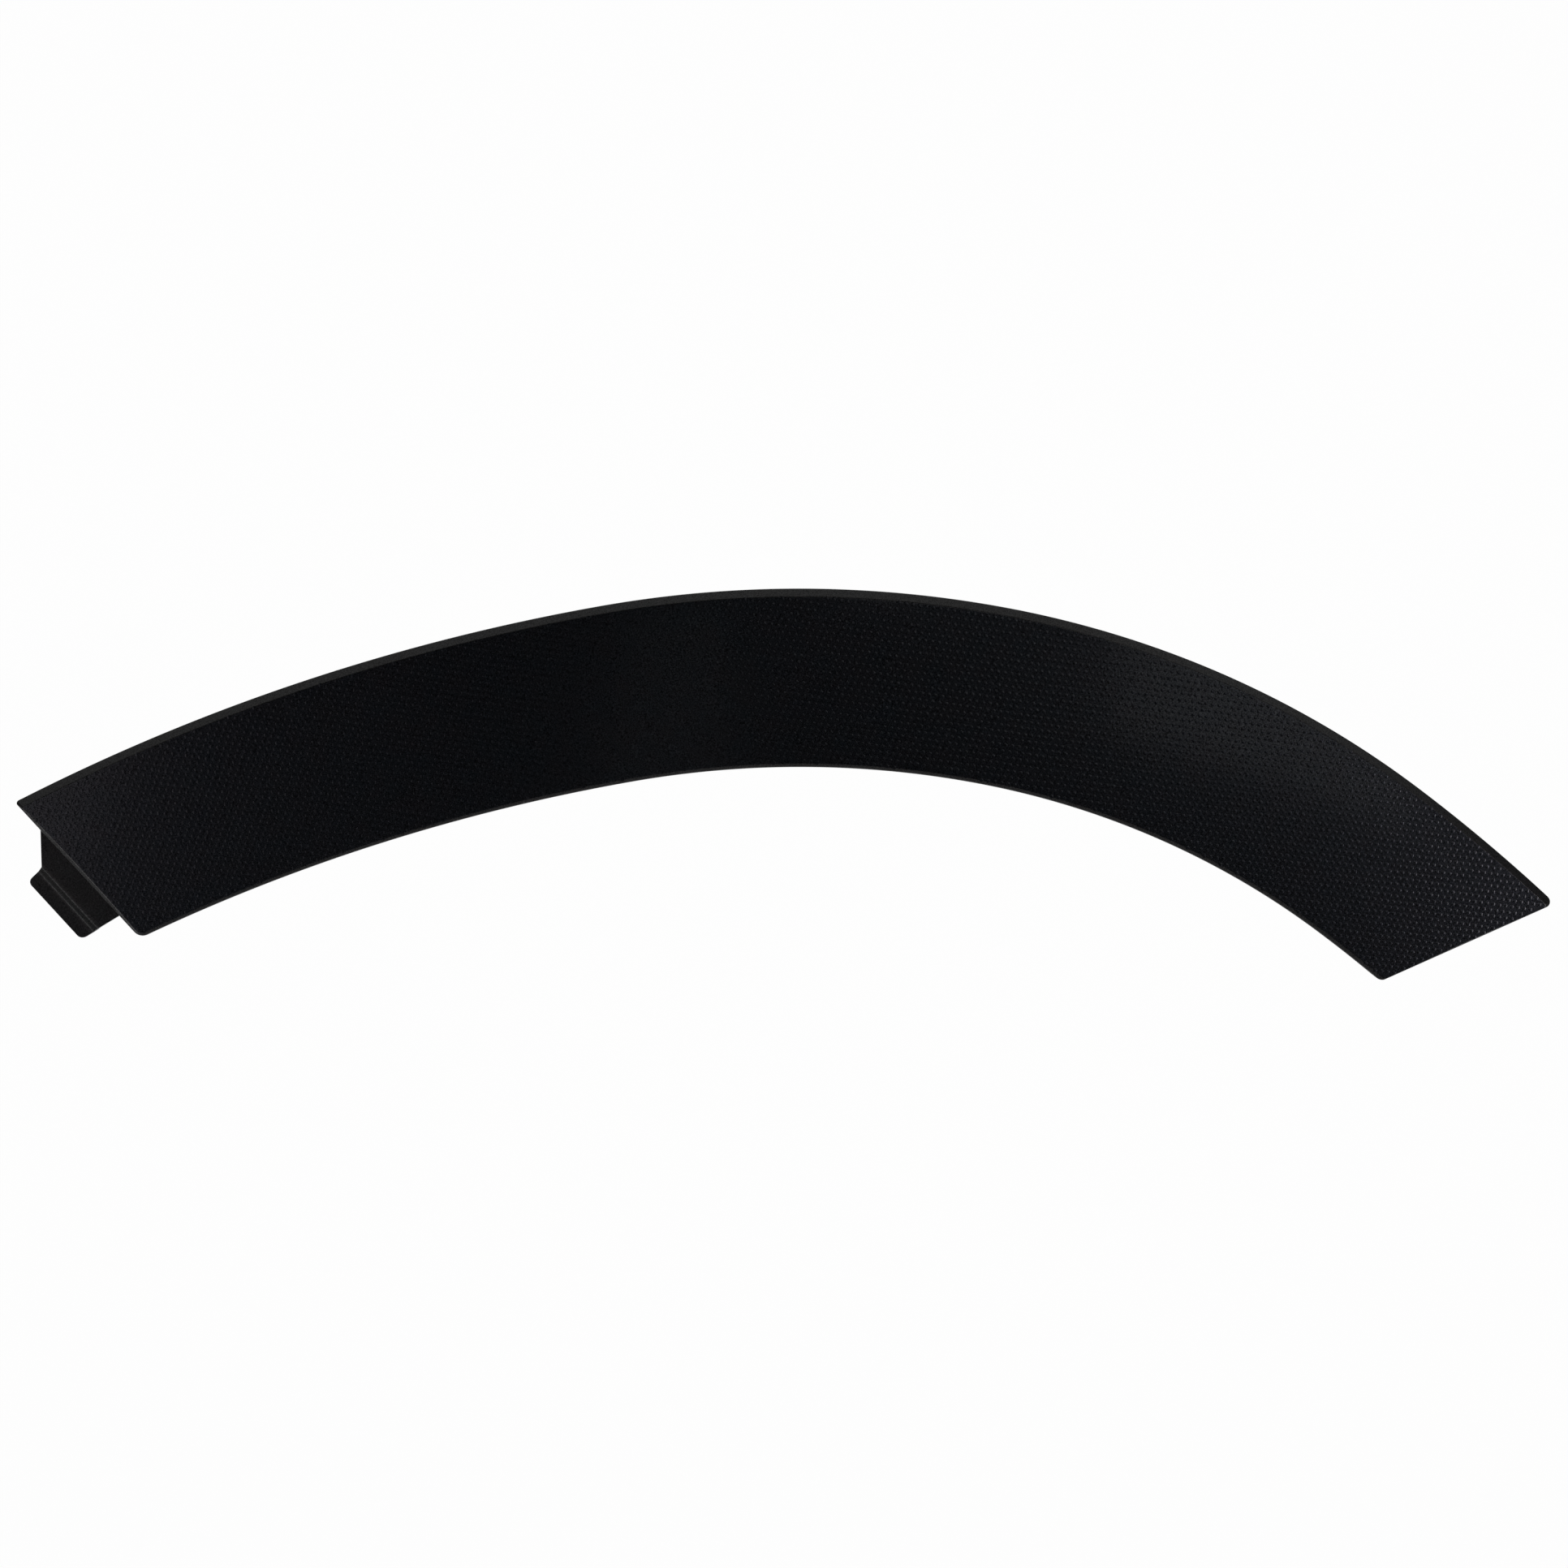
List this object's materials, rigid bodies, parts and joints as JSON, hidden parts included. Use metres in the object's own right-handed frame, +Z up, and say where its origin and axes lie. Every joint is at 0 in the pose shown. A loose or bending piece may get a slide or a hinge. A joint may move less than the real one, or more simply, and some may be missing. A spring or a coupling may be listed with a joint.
{
  "type": "wheel arch trim",
  "caption": "Grained black plastic wheel arch trim with a joggled joint tongue, and with clip seats, ribs and a screw flange behind.",
  "frame": {"origin": "middle clip seat, on the plane that the clip's collar rests on", "axes": "+X along the trim to the right as seen from outside, +Y inwards from the visible face to the car body, +Z up"},
  "size_m": [0.6082, 0.0394, 0.1532],
  "materials": {
    "moulding": "fine grain on the face, smooth elsewhere"
  },
  "bodies": {
    "root": {"arch_trim": "moulding"}
  },
  "joints": []
}
